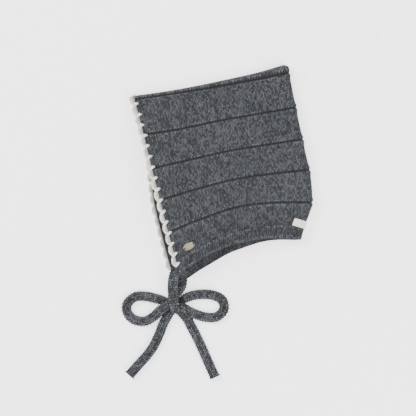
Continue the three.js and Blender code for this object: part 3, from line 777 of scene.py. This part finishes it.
def twisted_yarn(line, radius, sides, turns, phase, plies=2):
    """Plies wound round a line of points, each a closed tube; returns vertices and faces."""
    tangents, side, up = carried_frames(line, np.cross(np.gradient(line, axis=0)[0], (0.3, 0.2, 1.0)))
    taper = np.interp(np.linspace(0, 1, len(line)), [0, 0.12, 0.88, 1], [0.55, 1, 1, 0.55])
    vertices = []
    faces = []
    for ply in range(plies):
        angle = phase + 2 * math.pi * (turns * np.linspace(0, 1, len(line)) + ply / plies)
        offset = radius * (0.5 if plies > 1 else 0.0) * taper
        core = line + side * (np.cos(angle) * offset)[:, None] + up * (np.sin(angle) * offset)[:, None]
        thick = radius * (0.58 if plies > 1 else 1.0) * taper
        start = len(vertices)
        for i in range(len(line)):
            for corner in range(sides):
                turn = 2 * math.pi * corner / sides
                vertices.append(core[i] + thick[i] * (math.cos(turn) * side[i] + math.sin(turn) * up[i]))
        for i in range(len(line) - 1):
            for corner in range(sides):
                after = (corner + 1) % sides
                faces.append((start + i * sides + corner, start + i * sides + after,
                              start + (i + 1) * sides + after, start + (i + 1) * sides + corner))
        faces.append(tuple(start + corner for corner in range(sides))[::-1])
        faces.append(tuple(start + (len(line) - 1) * sides + corner for corner in range(sides)))
    return vertices, faces


dice = np.random.default_rng(7)
edging_vertices = []
edging_faces = []
edging_painted_shade = []


# depth sets painted shade: strands that lie further in get a darker colour.
def add_yarn(line, radius, sides, turns, depth, plies=2):
    vertices, faces = twisted_yarn(line, radius, sides, turns, dice.uniform(0, 6.28), plies)
    start = len(edging_vertices)
    edging_vertices.extend(vertices)
    edging_faces.extend(tuple(index + start for index in face) for face in faces)
    edging_painted_shade.extend([depth + dice.uniform(0, 0.25)] * len(vertices))


crown_reach = rim_reach[len(rim_reach) // 2]
for shell in range(shell_count):
    pitch = rim_reach[-1] / shell_count
    start = shell * pitch
    share = np.linspace(0, 1, 17)
    bow = np.sin(math.pi * share) ** 0.55
    lean = dice.uniform(-0.2, 0.2)
    full = 2.35 + 1.0 * smooth_step(60 - abs(start + pitch / 2 - crown_reach), 0, 60) + lean
    along = start + pitch * (share + 0.05 * np.sin(2 * math.pi * share))
    puffed = 0.4 * np.sin(math.pi * share)
    add_yarn(at_rim(along, 0.9 + full * bow, 0.35 + puffed), YARN_RADIUS * 1.05, 7, 2.6, 0.0)
    add_yarn(at_rim(along, 0.5 + 0.5 * full * bow, -0.2 + puffed), YARN_RADIUS * 0.9, 6, 2.2, 0.5)
    add_yarn(at_rim(along, np.full(17, 0.1), 0.2), YARN_RADIUS * 0.75, 6, 2.6, 0.8)
for anchor in range(shell_count + 1):
    here = min(max(anchor * rim_reach[-1] / shell_count, 1.4), rim_reach[-1] - 1.4)
    depth = 3.5 + dice.uniform(-0.4, 0.5)
    to_crown = 0.9 * np.sign(crown_reach - here) + dice.uniform(-0.3, 0.3)
    for way in (-1, 0, 1):
        share = np.linspace(0, 1, 9)
        reach_in = depth * (0.62 if way == -1 else 1.0 if way == 0 else 0.8)
        along = here + way * 1.35 * (1 - share * 0.55) + to_crown * share
        over = 1.3 + 0.8 * np.sin(math.pi * np.minimum(share * 1.15, 1)) - 0.7 * share ** 4
        add_yarn(at_rim(along, 1.3 - (1.3 + reach_in) * share, over), 0.72, 6, 1.0, 0.1, plies=1)

edging = mesh_piece("face_edging_crochet", np.array(edging_vertices), edging_faces,
                    None, {"depth": np.array(edging_painted_shade)})
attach(edging, "root")
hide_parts("face_edging")
CREAM_DARK = (0.36, 0.34, 0.30, 1)
CREAM_LIGHT = (0.96, 0.935, 0.85, 1)
tree, shader = finish_of(edging, "cream_yarn", 0.9, Sheen_Weight=0.15, Sheen_Roughness=0.6)
fibre = noise(tree, 1900.0, 3.0, 0.65)
soft = noise(tree, 420.0, 2.0, 0.5)
# Painted shade: the depth mark darkens the inner strands and anchor stitches, while fibre and soft give the
# yarn's own tone.
depth = node(tree, "ShaderNodeAttribute", {"attribute_name": "depth"}, [], output=2)
share = ((fibre - 0.5) * 1.4 + (soft - 0.5) * 1.0 - depth * 0.8 + 0.9).held(0, 1)
cream = blend_colour(tree, share, CREAM_DARK, CREAM_LIGHT)
cream.into(shader, "Base Color")
rough = (0.86 + (fibre - 0.5) * 0.2).held(0.7, 1.0)
rough.into(shader, "Roughness")
bump = node(tree, "ShaderNodeBump", {}, {"Strength": 0.7, "Distance": 0.0003, "Height": fibre + soft * 0.4})
bump.into(shader, "Normal")

# ------------------------------------------------------------------ label
# A short cream woven tape, folded round the back fold just above the neck band and
# stitched down at both ends. It is plain.
LABEL_WIDTH = 6.5
LABEL_THICKNESS = 0.6
LABEL_LEG = 15.4
LABEL_EDGE_Y = -67.6
LABEL_SLANT = 0.22


def row_through(y, share):
    low = np.zeros_like(y)
    high = np.full_like(y, CROWN_ROW)
    for _ in range(40):
        middle = (low + high) / 2
        under = row_y(middle, share) < y
        low = np.where(under, middle, low)
        high = np.where(under, high, middle)
    return (low + high) / 2


def hood_normal(row, reach):
    across = hood_face(row, reach + 0.2) - hood_face(row, reach - 0.2)
    up = hood_face(row + 0.01, reach) - hood_face(row - 0.01, reach)
    normal = np.cross(up, across)
    return normal / np.linalg.norm(normal, axis=-1)[..., None]


LABEL_STEPS = 72
LABEL_ACROSS = 16
reach = LABEL_LEG * (1 - 2 * np.linspace(0, 1, LABEL_STEPS + 1))[:, None] * np.ones((1, LABEL_ACROSS + 1))
side = (np.linspace(-0.5, 0.5, LABEL_ACROSS + 1)[None, :] * LABEL_WIDTH) * np.ones((LABEL_STEPS + 1, 1))
one = np.ones_like(reach)
label_share = 1 - np.abs(reach) / (65.8 + 67.9)
label_y = (row_y(one, label_share) + LABEL_EDGE_Y - row_y(one, one) + LABEL_SLANT * np.abs(reach) + side)
label_row = row_through(label_y, label_share)
label_up = hood_normal(label_row, reach)
tight = 0.5 + 0.12 * np.cos(2 * math.pi * np.abs(reach) / 5.0)
under_tape = hood_face(label_row, reach) + label_up * tight[:, :, None]
over_tape = hood_face(label_row, reach) + label_up * (tight + LABEL_THICKNESS)[:, :, None]
label_vertices = np.vstack([over_tape.reshape(-1, 3), under_tape.reshape(-1, 3)])
per = LABEL_ACROSS + 1
top_at = lambda i, c: i * per + c
under_at = lambda i, c: (LABEL_STEPS + 1) * per + i * per + c
label_faces = []
for i in range(LABEL_STEPS):
    for c in range(LABEL_ACROSS):
        label_faces.append((top_at(i, c), top_at(i, c + 1), top_at(i + 1, c + 1), top_at(i + 1, c)))
        label_faces.append((under_at(i, c), under_at(i + 1, c), under_at(i + 1, c + 1), under_at(i, c + 1)))
    for c in (0, LABEL_ACROSS):
        label_faces.append((top_at(i, c), top_at(i + 1, c), under_at(i + 1, c), under_at(i, c)))
for c in range(LABEL_ACROSS):
    for i in (0, LABEL_STEPS):
        label_faces.append((top_at(i, c), top_at(i, c + 1), under_at(i, c + 1), under_at(i, c)))
label_uv = np.stack([reach.ravel(), side.ravel()], axis=1)
label = mesh_piece("nape_label_tape", label_vertices, label_faces, np.vstack([label_uv, label_uv]))
drop_loose_points(label)
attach(label, "root")
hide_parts("nape_label")
tree, shader = finish_of(label, "woven_cream_tape", 0.75, Sheen_Weight=0.1)
weave_place = node(tree, "ShaderNodeUVMap", {"uv_map": "stitches"}, [])
weft = node(tree, "ShaderNodeSeparateXYZ", {}, [weave_place])
warp = weft.beside(1)
weave = (warp * 18.0).sine() * 0.25 + (weft * 14.0).sine() * 0.25 + 0.5
hem = ((abs(warp) - 2.65) * 4.0).held(0, 1)
grime = noise(tree, 500.0, 3.0, 0.6)
TAPE_DARK = (0.70, 0.64, 0.52, 1)
TAPE_LIGHT = (0.95, 0.90, 0.78, 1)
tape = blend_colour(tree, (weave * 0.5 + grime * 0.6).held(0, 1), TAPE_DARK, TAPE_LIGHT)
tape = tint(tree, tape, 1 - hem * 0.12)
tape.into(shader, "Base Color")
(0.72 + weave * 0.15).into(shader, "Roughness")
bump = node(tree, "ShaderNodeBump", {}, {"Strength": 0.5, "Distance": 0.00015, "Height": weave + hem})
bump.into(shader, "Normal")

# ------------------------------------------------------------------ metal tag
# A small oval plate in warm pale metal with a hole at each end, stamped from sheet with
# a rolled edge. A dark thread through each hole holds it to the knit.
TAG_PLACE = (-52.0, -63.0)
TAG_LENGTH = 13.0
TAG_WIDTH = 7.2
TAG_THICKNESS = 0.8
TAG_TILT = 19.0
TAG_HOLE = 0.9
TAG_HOLE_AT = 5.0

tag_row = np.array(1.2)
for _ in range(12):
    tag_face = along_table([entry[1] for entry in HOOD_ROWS], tag_row)
    tag_back = along_table([entry[2] for entry in HOOD_ROWS], tag_row)
    tag_share = (TAG_PLACE[0] - tag_face) / (tag_back - tag_face)
    tag_row = row_through(np.array(TAG_PLACE[1]), tag_share)
tag_reach = (1 - tag_share) * (tag_back - tag_face) - FOLD_RADIUS + QUARTER_FOLD
tag_up = hood_normal(tag_row, tag_reach)
tag_up = tag_up * np.sign(tag_up[2])
tag_along = np.array([math.cos(math.radians(TAG_TILT)), math.sin(math.radians(TAG_TILT)), 0.0])
tag_across = np.cross(tag_up, tag_along)
tag_across /= np.linalg.norm(tag_across)
tag_along = np.cross(tag_across, tag_up)
tag_seat = hood_face(tag_row, tag_reach) + tag_up * 0.45


def on_tag(x, y, z):
    return tag_seat + tag_along * x + tag_across * y + tag_up * z


def tag_height(x, y):
    """Slightly domed plate with a rolled edge and shallow hammer marks."""
    radius = math.hypot(2 * x / TAG_LENGTH, 2 * y / TAG_WIDTH)
    dome = 0.35 * (1 - radius ** 2)
    edge = 0.25 * math.exp(-((radius - 0.9) / 0.07) ** 2)
    flutes = 0.13 * math.cos(y * 2 * math.pi / 1.7) * max(0.0, 1 - (radius / 0.84) ** 6)
    return TAG_THICKNESS + dome + edge + flutes - 0.3 * max(0.0, (radius - 0.95) / 0.05) ** 2


outline = []
segments = []


def add_ring(points):
    start = len(outline)
    outline.extend(points)
    segments.extend((start + i, start + (i + 1) % len(points)) for i in range(len(points)))


for ring, count in ((1.0, 96), (0.95, 96), (0.9, 96), (0.84, 90)):
    add_ring([(ring * TAG_LENGTH / 2 * math.cos(2 * math.pi * i / count),
               ring * TAG_WIDTH / 2 * math.sin(2 * math.pi * i / count)) for i in range(count)])
holes = []
for end in (-1, 1):
    for radius in (TAG_HOLE, TAG_HOLE * 1.25):
        if radius == TAG_HOLE:
            holes.append((end * TAG_HOLE_AT, 0.0))
        add_ring([(end * TAG_HOLE_AT + radius * math.cos(2 * math.pi * i / 28) * 0.8,
                   radius * math.sin(2 * math.pi * i / 28)) for i in range(28)])
for column in range(-11, 12):
    for line_number in range(-6, 7):
        x = column * 0.45 + (line_number % 2) * 0.22
        y = line_number * 0.42
        clear = all(math.hypot((x - hole[0]) / 0.8, y - hole[1]) > TAG_HOLE * 1.5 for hole in holes)
        if clear and math.hypot(2 * x / TAG_LENGTH, 2 * y / TAG_WIDTH) < 0.8:
            outline.append((x, y))
flat_points, _, flat_faces, _, _, _ = delaunay_2d_cdt(
    [tuple(p) for p in outline], segments, [], 0, 1e-5)
kept = []
for face in flat_faces:
    middle_x = sum(flat_points[i][0] for i in face) / len(face)
    middle_y = sum(flat_points[i][1] for i in face) / len(face)
    in_hole = any(math.hypot((middle_x - hole[0]) / 0.8, middle_y - hole[1]) < TAG_HOLE * 0.99
                  for hole in holes)
    outside = math.hypot(2 * middle_x / TAG_LENGTH, 2 * middle_y / TAG_WIDTH) > 0.9999
    if not in_hole and not outside:
        kept.append(tuple(face))
dents = np.random.default_rng(11).uniform(-0.035, 0.035, len(flat_points))
tag_vertices = [on_tag(p[0], p[1], tag_height(p[0], p[1]) + dents[i]) for i, p in enumerate(flat_points)]
tag_vertices += [on_tag(p[0], p[1], 0.0) for p in flat_points]
under = len(flat_points)
tag_faces = list(kept) + [tuple(i + under for i in face)[::-1] for face in kept]
edges_seen = {}
for face in kept:
    for i in range(len(face)):
        pair = (face[i], face[(i + 1) % len(face)])
        edges_seen[pair] = edges_seen.get(pair, 0) + 1
for a, b in edges_seen:
    if (b, a) not in edges_seen:
        tag_faces.append((b, a, a + under, b + under))
tag = mesh_piece("oval_metal_tag", np.array(tag_vertices), tag_faces)
drop_loose_points(tag)
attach(tag, "root")
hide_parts("metal_tag")
tree, shader = finish_of(tag, "warm_pale_metal", 0.35)
grain = noise(tree, 900.0, 3.0, 0.6)
wear = noise(tree, 240.0, 2.0, 0.5)
METAL_DARK = (0.05, 0.043, 0.03, 1)
METAL_LIGHT = (0.44, 0.385, 0.28, 1)
metal = blend_colour(tree, (grain * 0.8 + wear * 0.5 - 0.15).held(0, 1), METAL_DARK, METAL_LIGHT)
metal.into(shader, "Base Color")
(0.3 + grain * 0.3).held(0.2, 0.7).into(shader, "Roughness")
shader.inputs["Metallic"].default_value = 0.9
bump = node(tree, "ShaderNodeBump", {}, {"Strength": 0.35, "Distance": 0.0002, "Height": grain + wear})
bump.into(shader, "Normal")

for end, node_name in ((-1, "tag_stitch_front"), (1, "tag_stitch_rear")):
    vertices = []
    faces = []
    for strand, drift in ((0, -0.32), (1, 0.3)):
        stops = [(TAG_HOLE_AT, 0.0, 0.1), (TAG_HOLE_AT + 0.1, drift * 0.6, 0.9),
                 (TAG_HOLE_AT + 0.8, drift, 1.4), (TAG_HOLE_AT + 1.7, drift * 1.2, 1.0),
                 (TAG_HOLE_AT + 2.1, drift * 1.2, 0.1)]
        line, _ = smooth_route([on_tag(end * x, y, z) for x, y, z in stops], 0.25)
        more, more_faces = twisted_yarn(line, 0.34, 8, 1.5, 0.8 * strand)
        faces.extend(tuple(index + len(vertices) for index in face) for face in more_faces)
        vertices.extend(more)
    thread = mesh_piece(f"{node_name}_thread", np.array(vertices), faces)
    tree, shader = finish_of(thread, f"{node_name}_wool", 0.9)
    fleck = noise(tree, 1500.0, 2.0, 0.6)
    dark = blend_colour(tree, fleck, (0.02, 0.021, 0.024, 1), (0.08, 0.084, 0.092, 1))
    dark.into(shader, "Base Color")
    (0.8 + fleck * 0.2).into(shader, "Roughness")
    bump = node(tree, "ShaderNodeBump", {}, {"Strength": 0.5, "Distance": 0.0001, "Height": fleck})
    bump.into(shader, "Normal")
    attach(thread, "root")
    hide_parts(node_name)

# ------------------------------------------------------------------ table and light
# A plain white table under two soft lights, one on each side, with a pale room all round.
TABLE_SIZE = 6.0
table_mesh = bpy.data.meshes.new("table_top")
half = TABLE_SIZE / 2
table_corners = [(-half, -half, 0), (half, -half, 0), (half, half, 0), (-half, half, 0)]
table_mesh.from_pydata(table_corners, [], [(0, 1, 2, 3)])
table = bpy.data.objects.new("table_top", table_mesh)
bpy.context.scene.collection.objects.link(table)
tree, shader = finish_of(table, "white_table", 0.9, Base_Color=(0.94, 0.94, 0.94, 1),
                         Emission_Color=(1.0, 1.0, 1.0, 1), Emission_Strength=1.5)
paper = noise(tree, 40.0, 3.0, 0.6)
(0.88 + paper * 0.06).into(shader, "Roughness")

world = bpy.data.worlds.new("pale_room")
world.use_nodes = True
room = world.node_tree.nodes["Background"]
room.inputs["Color"].default_value = (1.0, 1.0, 1.0, 1)
room.inputs["Strength"].default_value = 1.0
bpy.context.scene.world = world

for lamp_name, place, size, power, aim in (
        ("soft_box", (-0.9, 1.0, 1.3), 0.9, 40.0, (-0.02, -0.03, 0.0)),
        ("soft_fill", (0.6, -1.1, 1.2), 1.2, 34.0, (-0.02, -0.03, 0.0))):
    lamp = bpy.data.lights.new(lamp_name, "AREA")
    lamp.size = size
    lamp.energy = power
    stand = bpy.data.objects.new(lamp_name, lamp)
    stand.location = place
    way = np.subtract(aim, place)
    stand.rotation_euler = Vector(way).to_track_quat("-Z", "Y").to_euler()
    bpy.context.scene.collection.objects.link(stand)
